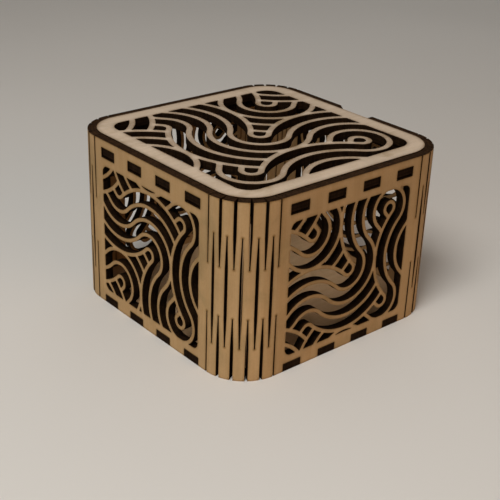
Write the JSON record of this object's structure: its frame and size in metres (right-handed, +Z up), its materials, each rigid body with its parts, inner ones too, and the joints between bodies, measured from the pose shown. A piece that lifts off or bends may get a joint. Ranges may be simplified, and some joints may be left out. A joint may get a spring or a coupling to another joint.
{
  "type": "laser-cut wooden keepsake box",
  "caption": "Square plywood box with living-hinge rounded corners, arc filigree sides and a lift-off filigree lid.",
  "frame": {"origin": "middle of the underside of the box", "axes": "+Z up out of the underside towards the lid, front side faces -Y, the side with the finger notch faces +X"},
  "size_m": [0.1, 0.1, 0.0666],
  "materials": {
    "wall_plywood": "bare pale birch plywood, edges charred dark brown by the laser",
    "base_plywood": "bare pale birch plywood, charred edges",
    "ledge_plywood": "bare pale birch plywood, charred edges",
    "lid_plywood": "bare pale birch plywood, edges charred dark brown by the laser"
  },
  "bodies": {
    "box": {"wall_band": "wall_plywood", "base_plate": "base_plywood", "ledge_frame": "ledge_plywood"},
    "lid": {"lid": "lid_plywood"}
  },
  "joints": [
    {"name": "lid_lift", "type": "slide", "parent": "box", "child": "lid", "axis": [0, 0, 1], "range_m": [0, 0.05]}
  ]
}
